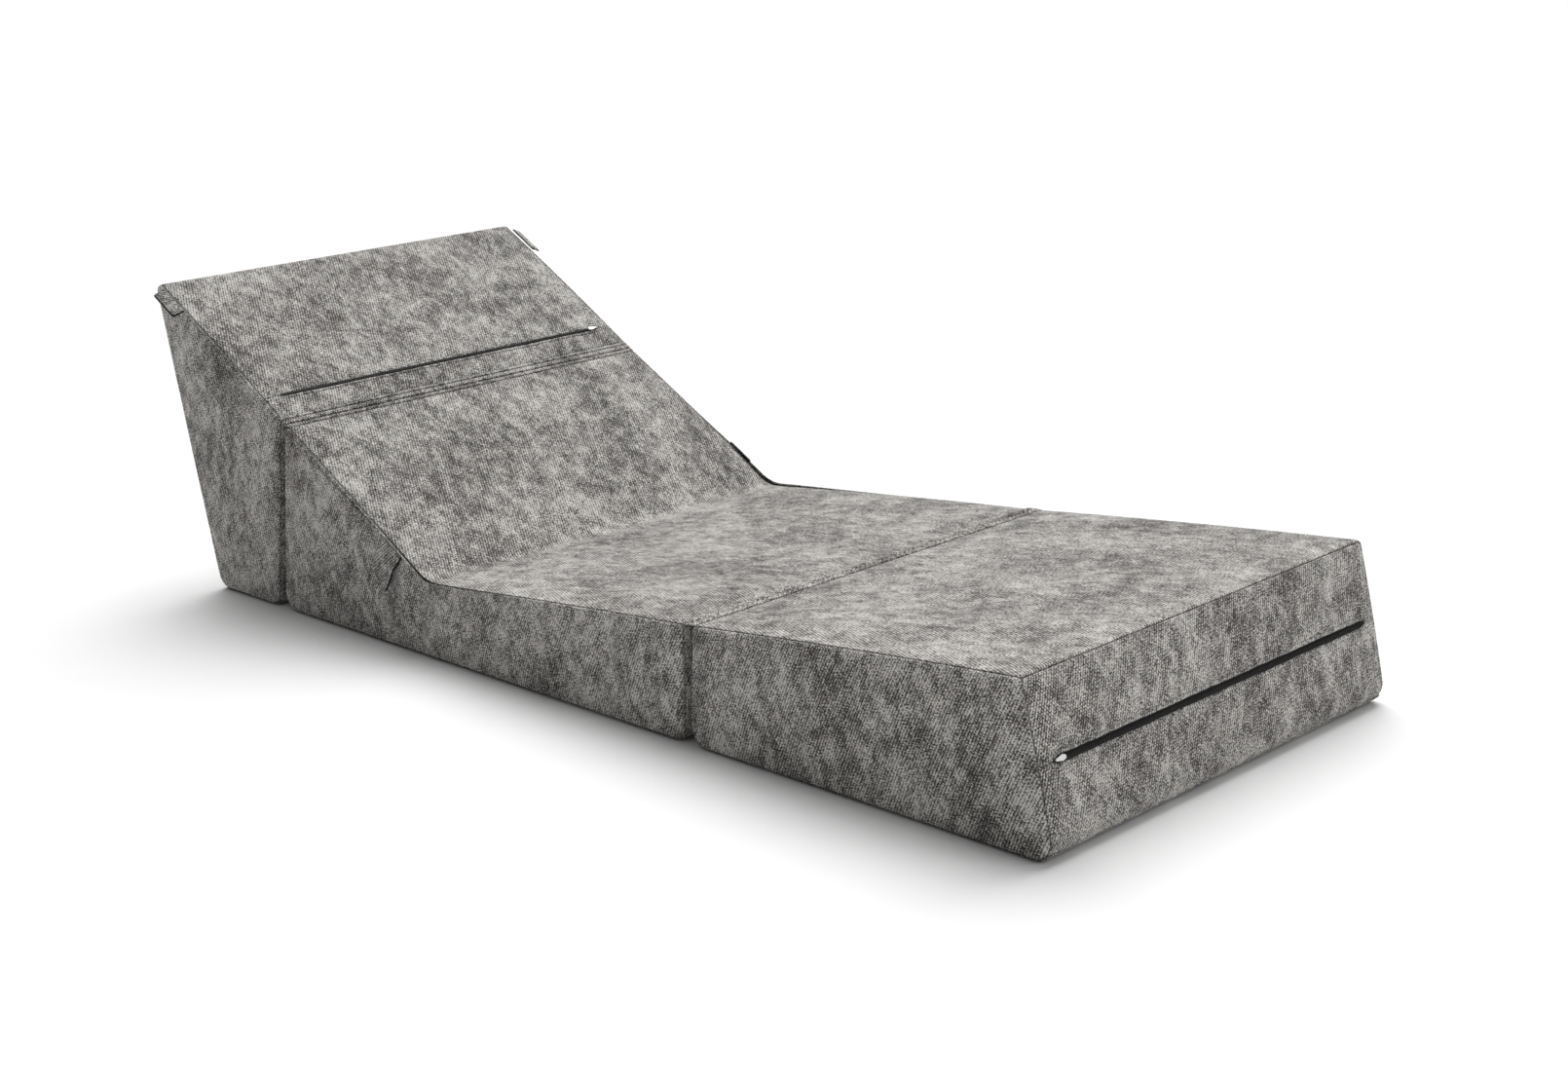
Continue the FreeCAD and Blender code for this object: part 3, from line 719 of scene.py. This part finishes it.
# Hinge strips
def hinge_strip(name, spot, direction, extent, grooves, ridges, node):
    """Cloth across a fold line, flush with both tops and tucked under their panels."""
    along = np.array([direction[0], 0, direction[1]])
    normal = np.array([-direction[1], 0, direction[0]])
    hinge = np.array([spot[0], 0, spot[1]])
    t = np.concatenate([np.arange(extent[0], extent[1] - 0.0004, 0.0009), [extent[1]]])
    y = np.linspace(-SEAM_Y, SEAM_Y, 1151)
    t_grid, y_grid = np.meshgrid(t, y, indexing="ij")
    lift = np.full(t_grid.shape, -0.0003)
    for groove, depth in grooves:
        lift -= depth * np.exp(-((t_grid - groove) / 0.0012) ** 2)
    for centre, reach, pitch, depth, side in ridges:
        gap = (t_grid - centre) * side
        wave = np.cos(y_grid * 2 * math.pi / pitch + 1.5 * np.sin(y_grid * 23))
        fade = np.where(gap > 0, np.exp(-(gap / reach) ** 2), 0)
        lift += depth * wave * fade * (1 - np.exp(-np.abs(gap) / 0.0008))
    under = np.maximum(extent[0] + 0.0030 - t_grid, t_grid - extent[1] + 0.0030)
    lift -= 0.0010 * np.clip(under / 0.0030, 0, 1) ** 2
    rim = np.clip((np.abs(y_grid) - SEAM_Y + 0.004) / 0.004, 0, 1)
    lift -= 0.0016 * rim ** 2
    lift += 0.00015 * soft_noise(np.stack([t_grid, y_grid, 0 * t_grid], -1), 0.02, 4)
    top = hinge + along * t_grid[..., None] + normal * lift[..., None]
    top[..., 1] = y_grid
    uv = np.stack([y_grid + 0.35, t_grid + spot[0]], -1).reshape(-1, 2)
    # Distance from the grooves, along which the cover paints shade into the seam valleys
    gap = np.minimum.reduce([np.abs(t_grid - groove) for groove, _ in grooves]).ravel()
    seam = np.stack([gap, y_grid.ravel()], 1)
    far = np.ones_like(seam)
    layers = {"cloth": uv, "side_seam": far, "end_seam": seam, "zip_edge": far}
    obj = sheet_object(name, top, top - normal * STRIP_THICKNESS, normal, layers)
    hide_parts(node)
    return obj, hinge, along, normal


# Zips
def zip_parts(block, s_zip, nodes):
    """Two tapes and two coils of one zip; nodes are those below and above it."""
    outline = OUTLINES[block]
    y = np.linspace(-ZIP_HALF, ZIP_HALF, 321)
    for sign, node in zip((-1, 1), nodes):
        t = np.array([0.0, 0.0010, 0.0022, 0.0035, 0.006, 0.009, TAPE_WIDTH]) + 0.0004
        s_grid, y_grid = np.meshgrid(s_zip + sign * t, y, indexing="ij")
        places, normals = on_skin(outline, s_grid, y_grid)
        level = TAPE_LEVEL + 0.0012 * np.clip((t - 0.0060) / 0.004, 0, 1) ** 2
        places = places - normals * level[:, None, None]
        flip = not faces_outwards(places, normals)
        rows, cols = s_grid.shape
        tape = make_object(node + "_cloth", places.reshape(-1, 3), grid_faces(rows, cols, flip))
        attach(tape, block + "_block")
        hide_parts(node)
        dressed(tape, TAPE)
        steps = 10
        turns = round(2 * (ZIP_HALF - 0.004) / COIL_PITCH)
        angle = np.arange(turns * steps + 1) / steps * 2 * math.pi
        across = sign * COIL_HALF_WIDTH * (1 - np.cos(angle))
        high = COIL_HALF_HEIGHT * np.sin(angle)
        y_coil = -ZIP_HALF + 0.004 + (np.arange(len(angle)) / steps + (sign > 0) * 0.5) * COIL_PITCH
        p, n = on_skin(outline, s_zip + across, y_coil)
        line = p + n * (high - TAPE_LEVEL + COIL_RISE + 0.0005)[:, None]
        coil = tube(node + "_coil", line, COIL_WIRE, 5)
        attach(coil, block + "_block")
        dressed(coil, COIL)


def tube(name, line, radius, sides):
    """Round wire along a line of places."""
    along = np.gradient(line, axis=0)
    along /= np.linalg.norm(along, axis=1, keepdims=True)
    helper = np.array([0.31, 0.0, 0.95])
    first = np.cross(along, helper)
    first /= np.linalg.norm(first, axis=1, keepdims=True)
    second = np.cross(along, first)
    angles = np.arange(sides) * 2 * math.pi / sides
    verts = line[:, None] + radius * (first[:, None] * np.cos(angles)[None, :, None]
                                      + second[:, None] * np.sin(angles)[None, :, None])
    k = np.arange(len(line) - 1)[:, None] * sides
    a = np.arange(sides)[None, :]
    b = (a + 1) % sides
    quads = np.stack([k + a, k + b, k + sides + b, k + sides + a], -1).reshape(-1, 4)
    return make_object(name, verts.reshape(-1, 3), quads)


# Tabs
TAB_CORNER = 0.004


def thin_plate(name, place, length, reach, low, high, curl, body, node, side_piece, seed):
    """Cloth plate with round free corners and rolled edges, sewn along its first side."""
    origin, along, outward, lift_way = place
    corner = TAB_CORNER
    j = np.concatenate([[0, 0.0003, 0.0008], np.linspace(0.002, reach - corner, 12),
                        reach - corner * np.cos(np.linspace(0, 1, 9)[1:] * math.pi / 2),
                        [reach]])
    j = np.unique(np.round(np.clip(j, 0, reach), 7))
    i = np.concatenate([[-1, -0.985, -0.96], np.linspace(-0.9, 0.9, 21), [0.96, 0.985, 1]])
    past = np.clip(j - (reach - corner), 0, corner)
    half = length / 2 - corner + np.sqrt(np.maximum(corner ** 2 - past ** 2, 0))
    x = i[None, :] * half[:, None]
    y = np.broadcast_to(j[:, None], x.shape)
    edge = np.minimum(half[:, None] - np.abs(x), reach - y)
    full = np.sqrt(np.clip(1 - (1 - np.clip(edge / 0.0007, 0, 1)) ** 2, 0, 1))
    middle = (low + high) / 2
    free = np.clip(y / (0.4 * reach), 0, 1)
    turn = np.clip(x / length + 0.5, 0, 1.1) ** 2.5
    bend = curl * free ** 2 * (3 - 2 * free) * (0.2 * y / reach + 0.8 * turn)
    bend = bend + 0.00012 * np.sin(x * 210 + seed) * np.sin(y * 160 + seed)
    shape = np.zeros((*x.shape, 3))
    shape += origin + along * x[..., None] + outward * y[..., None]
    up = lift_way * (middle + bend)[..., None]
    thick = lift_way * ((high - low) / 2 * full)[..., None]
    top, under = shape + up + thick, shape + up - thick
    uv = np.stack([x + seed, -y + seed], -1).reshape(-1, 2)
    # Distance from a line 3.5 mm in from the edge, along which the cover paints shade as a dashed hem
    # groove
    hem = np.stack([np.abs(edge - 0.0035) + 0.0001, x + y], -1).reshape(-1, 2)
    sewn = np.stack([y, x], -1).reshape(-1, 2)
    layers = {"cloth": uv, "side_seam": hem, "end_seam": sewn, "zip_edge": np.ones_like(uv)}
    obj = sheet_object(name, top, under, lift_way, layers)
    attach(obj, body)
    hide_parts(node)
    return obj


# Node materials
class Nodes:
    """Short calls to build a node tree."""

    def __init__(self, name):
        self.material = bpy.data.materials.new(name)
        self.material.use_nodes = True
        self.tree = self.material.node_tree
        self.shader = self.tree.nodes["Principled BSDF"]

    def add(self, kind, **settings):
        node = self.tree.nodes.new(kind)
        for key, value in settings.items():
            setattr(node, key, value)
        return node

    def put(self, socket, value):
        if isinstance(value, bpy.types.NodeSocket):
            self.tree.links.new(value, socket)
        else:
            socket.default_value = value

    def math(self, operation, *values):
        node = self.add("ShaderNodeMath", operation=operation)
        for socket, value in zip(node.inputs, values):
            self.put(socket, value)
        return node.outputs[0]

    def object_place(self):
        return self.add("ShaderNodeTexCoord").outputs["Object"]

    def mapped(self, at, angle, scale):
        node = self.add("ShaderNodeMapping")
        self.put(node.inputs["Vector"], at)
        self.put(node.inputs["Rotation"], (0, 0, math.radians(angle)))
        self.put(node.inputs["Scale"], scale)
        return node.outputs[0]

    def vector(self, operation, a, b=None, scale=None):
        node = self.add("ShaderNodeVectorMath", operation=operation)
        self.put(node.inputs[0], a)
        if b is not None:
            self.put(node.inputs[1], b)
        if scale is not None:
            self.put(node.inputs["Scale"], scale)
        return node.outputs["Value" if operation == "DOT_PRODUCT" else 0]

    def noise(self, at, scale, detail=2.0, roughness=0.5, distortion=0.0, output=0):
        node = self.add("ShaderNodeTexNoise")
        sizes = {"Vector": at, "Scale": scale, "Detail": detail, "Roughness": roughness,
                 "Distortion": distortion}
        for title, value in sizes.items():
            self.put(node.inputs[title], value)
        return node.outputs[output]

    def cells(self, at, scale):
        node = self.add("ShaderNodeTexVoronoi")
        self.put(node.inputs["Vector"], at)
        self.put(node.inputs["Scale"], scale)
        return node.outputs[0]

    def finish(self, **values):
        """Sets the shader's inputs; a title's spaces are written as underscores."""
        for title, value in values.items():
            self.put(self.shader.inputs[title.replace("_", " ")], value)
        return self.material

    def ramp(self, value, stops):
        node = self.add("ShaderNodeValToRGB")
        self.put(node.inputs[0], value)
        elements = node.color_ramp.elements
        while len(elements) < len(stops):
            elements.new(0.5)
        for element, (position, colour) in zip(elements, stops):
            element.position = position
            element.color = (*colour, 1)
        return node.outputs[0]

    def mix(self, share, a, b, blend="MIX"):
        node = self.add("ShaderNodeMix", data_type="RGBA", blend_type=blend)
        self.put(node.inputs[0], share)
        self.put(node.inputs[6], a)
        self.put(node.inputs[7], b)
        return node.outputs[2]

    def stretch(self, value, low, high, to_low=0.0, to_high=1.0):
        node = self.add("ShaderNodeMapRange")
        for socket, number in zip(node.inputs, (value, low, high, to_low, to_high)):
            self.put(socket, number)
        return node.outputs[0]

    def bell(self, value, width):
        """Falls from 1 as value leaves 0, over about that width."""
        share = self.math("MULTIPLY", value, 1 / width)
        return self.math("EXPONENT", self.math("MULTIPLY", self.math("MULTIPLY", share, share), -1.0))

    def wave(self, value, pitch):
        """Wave from 0 to 1 along value."""
        phase = self.math("COSINE", self.math("MULTIPLY", value, 2 * math.pi / pitch))
        return self.math("ADD", self.math("MULTIPLY", phase, 0.5), 0.5)

    def layer(self, title):
        at = self.add("ShaderNodeUVMap", uv_map=title).outputs[0]
        parts = self.add("ShaderNodeSeparateXYZ")
        self.put(parts.inputs[0], at)
        return parts.outputs[0], parts.outputs[1]

    def bump(self, height, distance, strength=1.0, normal=None):
        node = self.add("ShaderNodeBump")
        self.put(node.inputs["Height"], height)
        self.put(node.inputs["Distance"], distance)
        self.put(node.inputs["Strength"], strength)
        if normal is not None:
            self.put(node.inputs["Normal"], normal)
        return node.outputs[0]


def woven_cover(name, tones):
    """Chenille weave: staggered short tufts, crushed pile in blotches, sewn seams; painted shade
    darkens the seam valleys, the hems and the stitch line beside each zip.
    """
    n = Nodes(name)
    uv = n.add("ShaderNodeUVMap", uv_map="cloth").outputs[0]
    wander = n.noise(uv, 60.0, output=1)
    shift = n.vector("SCALE", n.vector("SUBTRACT", wander, (0.5, 0.5, 0.5)), scale=0.0010)
    cloth = n.vector("ADD", uv, shift)
    waves = []
    for direction, weight in (((224, -104, 0), 0.62), ((224, 176, 0), 0.34), ((0, 280, 0), 0.12)):
        phase = n.math("MULTIPLY", n.vector("DOT_PRODUCT", cloth, direction), 2 * math.pi)
        waves.append(n.math("MULTIPLY", n.math("COSINE", phase), weight))
    weave = n.math("ADD", n.math("ADD", waves[0], waves[1]), waves[2])
    tufts = n.noise(n.mapped(uv, -27, (0.40, 1.0, 1.0)), 520.0, 2.0, 0.7)
    yarn = n.noise(uv, 1300.0, 2.0, 0.6)
    flow = n.mapped(uv, -14, (1.0, 0.68, 1.0))
    broad = n.noise(flow, 10.0, 2.0, 0.5, 0.2)
    blotch = n.noise(flow, 50.0, 7.0, 0.80, 0.10)
    pile = n.math("MULTIPLY_ADD", weave, 0.16, 0.5)
    for value, weight in ((blotch, 1.16), (broad, 0.42), (tufts, 1.25), (yarn, 0.35)):
        pile = n.math("MULTIPLY_ADD", n.math("SUBTRACT", value, 0.5), weight, pile)
    colour = n.ramp(pile, [(0.33, tones[0]), (0.50, tones[1]), (0.68, tones[2])])
    height = n.math("ADD", n.math("MULTIPLY", weave, 0.5), n.math("MULTIPLY", tufts, 0.9))
    bumps = n.bump(height, 0.0007, 0.8)
    bumps = n.bump(n.math("ADD", yarn, blotch), 0.0006, 0.4, bumps)
    shade, depth = None, None
    # Painted shade: each seam's valley is darkened in the colour, in dashes at the stitch pitch
    for title, reach in (("side_seam", 0.0045), ("end_seam", 0.0060)):
        gap, along = n.layer(title)
        line = n.bell(gap, 0.0011)
        stitch = n.wave(along, STITCH_PITCH)
        dark = n.math("MULTIPLY", line, n.math("ADD", n.math("MULTIPLY", stitch, 0.55), 0.30))
        rib = n.math("MULTIPLY", n.bell(gap, reach), n.wave(along, STITCH_PITCH))
        low = n.math("SUBTRACT", n.math("MULTIPLY", rib, 0.25),
                     n.math("MULTIPLY", line, n.math("ADD", stitch, 0.4)))
        shade = dark if shade is None else n.math("MAXIMUM", shade, dark)
        depth = low if depth is None else n.math("ADD", depth, low)
    # Painted shade: a dashed dark line along the stitch groove 5.8 mm from each zip edge
    gap, along = n.layer("zip_edge")
    line = n.bell(n.math("SUBTRACT", gap, 0.0058), 0.0007)
    dark = n.math("MULTIPLY", line, n.math("MULTIPLY", n.wave(along, 0.0036), 0.6))
    shade = n.math("MAXIMUM", shade, dark)
    depth = n.math("SUBTRACT", depth, n.math("MULTIPLY", line, 0.5))
    # The painted shade of the seams and the zip stitching pulls the colour toward near black
    colour = n.mix(n.math("MULTIPLY", shade, 0.85), colour, (0.030, 0.029, 0.028, 1))
    bumps = n.bump(depth, 0.0009, 0.9, bumps)
    return n.finish(Base_Color=colour, Roughness=n.stretch(pile, 0.1, 0.9, 0.96, 0.82),
                    Specular_IOR_Level=0.20, Sheen_Weight=n.stretch(pile, 0.30, 0.72, 0.25, 1.0),
                    Sheen_Roughness=0.42, Sheen_Tint=(0.94, 0.92, 0.89, 1), Normal=bumps)


def plain_woven(name, dark, light, pitch, bump):
    """Fine plain weave for tapes and threads."""
    n = Nodes(name)
    at = n.object_place()
    waves = []
    for direction in ((0.7, 0.0, 0.7), (0.0, 1.0, 0.0)):
        vector = tuple(d * 2 * math.pi / pitch for d in direction)
        waves.append(n.math("SINE", n.vector("DOT_PRODUCT", at, vector)))
    weave = n.math("MULTIPLY", waves[0], waves[1])
    fuzz = n.noise(at, 900.0, 2.0, 0.6)
    mixed = n.math("ADD", n.stretch(weave, -1, 1, 0.2, 0.6), n.math("MULTIPLY", fuzz, 0.4))
    return n.finish(Base_Color=n.ramp(mixed, [(0.2, dark), (0.85, light)]),
                    Roughness=n.stretch(mixed, 0, 1, 0.9, 0.65), Specular_IOR_Level=0.35,
                    Normal=n.bump(mixed, bump, 0.7))


def hook_material():
    n = Nodes("hook_pad_black")
    at = n.object_place()
    hooks = n.stretch(n.cells(at, 900.0), 0.0, 0.6, 1.0, 0.0)
    dust = n.noise(at, 120.0, 4.0, 0.6)
    shade = n.math("ADD", n.math("MULTIPLY", hooks, 0.7), n.math("MULTIPLY", dust, 0.3))
    colour = n.ramp(shade, [(0.2, (0.004, 0.004, 0.004)), (1.0, (0.030, 0.030, 0.031))])
    return n.finish(Base_Color=colour, Roughness=n.stretch(dust, 0.3, 0.7, 0.45, 0.7),
                    Normal=n.bump(hooks, 0.0006, 0.9))


def speckled(name, grain, stops, roughness, bump, cells=None, **more):
    """Plain surface whose colour and roughness follow a noise, and its relief too or cells."""
    n = Nodes(name)
    at = n.object_place()
    dust = n.noise(at, *grain)
    relief = n.cells(at, cells) if cells else dust
    return n.finish(Base_Color=n.ramp(dust, stops), Roughness=n.stretch(dust, 0.3, 0.7, *roughness),
                    Normal=n.bump(relief, *bump), **more)


COVER = woven_cover("cover_weave", [(0.040, 0.037, 0.034), (0.228, 0.216, 0.202),
                                    (0.68, 0.66, 0.63)])
THREAD = plain_woven("seam_thread", (0.10, 0.095, 0.09), (0.26, 0.25, 0.24), 0.0005, 0.0001)
TAPE = plain_woven("zip_tape_black", (0.004, 0.004, 0.004), (0.020, 0.020, 0.020), 0.0009, 0.0003)
HOOKS = hook_material()
COIL = speckled("zip_coil_black", (300.0, 4.0, 0.6),
                [(0.35, (0.006, 0.006, 0.006)), (0.75, (0.022, 0.021, 0.021))],
                (0.30, 0.50), (0.0002, 0.4))
FOAM = speckled("foam_cut", (14.0, 4.0, 0.6),
                [(0.3, (0.74, 0.66, 0.48)), (0.7, (0.86, 0.80, 0.66))],
                (0.85, 0.98), (0.0012, 0.6), cells=700.0)
SLIDER = speckled("slider_white_enamel", (260.0, 5.0, 0.6),
                  [(0.60, (0.86, 0.855, 0.84)), (0.72, (0.55, 0.54, 0.52))],
                  (0.22, 0.42), (0.0002, 0.3), Coat_Weight=0.4, Coat_Roughness=0.15)


def dressed(obj, material):
    obj.data.materials.clear()
    obj.data.materials.append(material)
    return obj


# Foam, covers and the stitches along their seams
for block, marks, counts in SIDES:
    dressed(foam_core(block, marks, counts), FOAM)
for seed, (name, block, start, end, swell, lip, node) in enumerate(PANELS, 1):
    panel = girth_panel(name, block, start, end, swell, lip, seed)
    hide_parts(node)
    dressed(panel, COVER)
for seed, (block, marks, counts) in enumerate(SIDES, 20):
    outline = OUTLINES[block]
    for side, word in ((-1, "right"), (1, "left")):
        panel = side_panel(block + "_" + word + "_side_panel", block, side, seed * side,
                           marks, counts)
        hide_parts(block + "_" + word + "_side")
        dressed(panel, COVER)
        s = np.arange(0, outline.length, 0.001)
        places, normals = on_skin(outline, s, np.full(len(s), side * SEAM_Q))
        row = stitch_row(block + "_" + word + "_seam_stitches",
                         places - normals * (SEAM_DEPTH + 0.0009), normals, block + "_block")
        dressed(row, THREAD)

# Zips
zip_parts("head", HEAD_ZIP, ("head_zip_tape_slope_band", "head_zip_tape_slope_main"))
zip_parts("seat", SEAT_ZIP, ("seat_zip_tape_rear_upper", "seat_zip_tape_rear_lower"))
zip_parts("foot", FOOT_ZIP, ("foot_zip_tape_front_lower", "foot_zip_tape_front_upper"))
for block in OUTLINES:
    dressed(bpy.data.objects[block + "_zip_stops"], COIL)
    slider = dressed(bpy.data.objects[block + "_zip_slider"], SLIDER)
    rounding = slider.modifiers.new("rounding", "BEVEL")
    rounding.width = 0.00025
    rounding.segments = 2
    rounding.limit_method = "ANGLE"

# Hinge strips
strip, hinge, along, normal = hinge_strip(
    "head_seat_hinge_cloth", SPOTS["hinge"], DOWN, HEAD_STRIP, HEAD_STRIP_SEAMS,
    [(HEAD_STRIP_SEAMS[1][0], 0.007, 0.0060, 0.00022, 1)],
    "head_seat_hinge_strip")
dressed(strip, COVER)
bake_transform(strip)
strip, hinge, along, normal = hinge_strip(
    "seat_foot_hinge_cloth", SPOTS["fold"], UP, FOOT_STRIP, ((0.0, 0.0026),),
    [(0.0, 0.0090, 0.0030, 0.00055, 1), (0.0, 0.011, 0.0066, 0.00060, -1)],
    "seat_foot_hinge_strip")
dressed(strip, COVER)
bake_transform(strip)

# Tabs
for block, length, reach, droop, curls in TABS:
    for side, word in ((-1, "right"), (1, "left")):
        bank = math.radians(droop)
        across = np.array([0, side, 0])
        outward = across * math.cos(bank) - SLOPE_NORMAL * math.sin(bank)
        upward = across * math.sin(bank) + SLOPE_NORMAL * math.cos(bank)
        body = f"{block}_tab_{word}"
        place = (TAB_SEAMS[body], ALONG_SLOPE, outward, upward)
        seed = {"head": 3, "seat": 7}[block] + side
        shared = (f"{block}_{word}_side_panel", seed)
        cloth = thin_plate(body + "_cloth", place, length, reach, 0, TAB_CLOTH, curls[word],
                           body, body, *shared)
        dressed(cloth, COVER)
        pad = thin_plate(body + "_hooks", place, length + 2 * PAD_MARGIN, reach + PAD_MARGIN,
                         -TAB_PAD, 0, curls[word], body, f"{block}_tab_hook_pad_{word}", *shared)
        dressed(pad, HOOKS)

# Floor, light and camera
corners = np.array([(-40, -40, 0), (40, -40, 0), (40, 40, 0), (-40, 40, 0)])
floor = make_object("studio_floor", corners, [(0, 1, 2, 3)], smooth=False)
n = Nodes("studio_floor")
floor.data.materials.append(n.finish(Base_Color=(0.84, 0.84, 0.84, 1), Roughness=0.95,
                                     Specular_IOR_Level=0.1))

# A white backdrop far behind the floor, which is seen but sheds no light
turn = np.linspace(0, 2 * math.pi, 97)[:-1]
ring = np.stack([38 * np.cos(turn), 38 * np.sin(turn)], 1)
wall_verts = np.concatenate([np.c_[ring, np.full(96, z)] for z in (-0.5, 40.0)])
wall_faces = np.stack([np.arange(96), (np.arange(96) + 1) % 96, (np.arange(96) + 1) % 96 + 96,
                       np.arange(96) + 96], 1)
wall = make_object("studio_backdrop", wall_verts, wall_faces)
n = Nodes("studio_backdrop")
wall.data.materials.append(n.finish(Base_Color=(0, 0, 0, 1), Emission_Color=(1, 1, 1, 1),
                                    Emission_Strength=1.0))
for ray in ("diffuse", "glossy", "transmission", "volume_scatter", "shadow"):
    setattr(wall, "visible_" + ray, False)


def lamp(name, kind, place, target, power, **sizes):
    light = bpy.data.lights.new(name, kind)
    light.energy = power
    for key, value in sizes.items():
        setattr(light, key, value)
    obj = bpy.data.objects.new(name, light)
    obj.location = place
    obj.rotation_euler = (Vector(target) - Vector(place)).to_track_quat("-Z", "Y").to_euler()
    bpy.context.scene.collection.objects.link(obj)


lamp("back_panel", "SUN", (-0.9, 1.1, 2.1), (0, 0, 0), 3.6, angle=math.radians(55))
lamp("sky_panel", "SUN", (0, 0, 4), (0, 0, 0), 0.5, angle=math.radians(90))
lamp("foot_softbox", "AREA", (3.4, 0.6, 1.9), (0.9, 0.0, 0.1), 20, shape="RECTANGLE",
     size=1.8, size_y=1.6)
world = bpy.data.worlds.new("studio")
bpy.context.scene.world = world
world.use_nodes = True
world.node_tree.nodes["Background"].inputs[0].default_value = (1, 1, 1, 1)
world.node_tree.nodes["Background"].inputs[1].default_value = 0.11

AZIMUTH, ELEVATION, ROLL = math.radians(45.43), math.radians(16.14), math.radians(-2.05)
DISTANCE, AIM = 3.41142, Vector((0.295805, 0.0, 0.16545))
back = Vector((math.sin(AZIMUTH) * math.cos(ELEVATION),
               -math.cos(AZIMUTH) * math.cos(ELEVATION), math.sin(ELEVATION)))
camera_data = bpy.data.cameras.new("camera")
camera_data.lens = 2483.26 * 36 / 1610
camera_data.sensor_width = 36
camera = bpy.data.objects.new("camera", camera_data)
right = Vector((0, 0, 1)).cross(back).normalized()
pose = Matrix((right, back.cross(right), back)).transposed().to_4x4() \
    @ Matrix.Rotation(ROLL, 4, "Z")
pose.translation = AIM + back * DISTANCE
camera.matrix_world = pose
bpy.context.scene.collection.objects.link(camera)
bpy.context.scene.camera = camera
bpy.context.scene.view_settings.view_transform = "Standard"
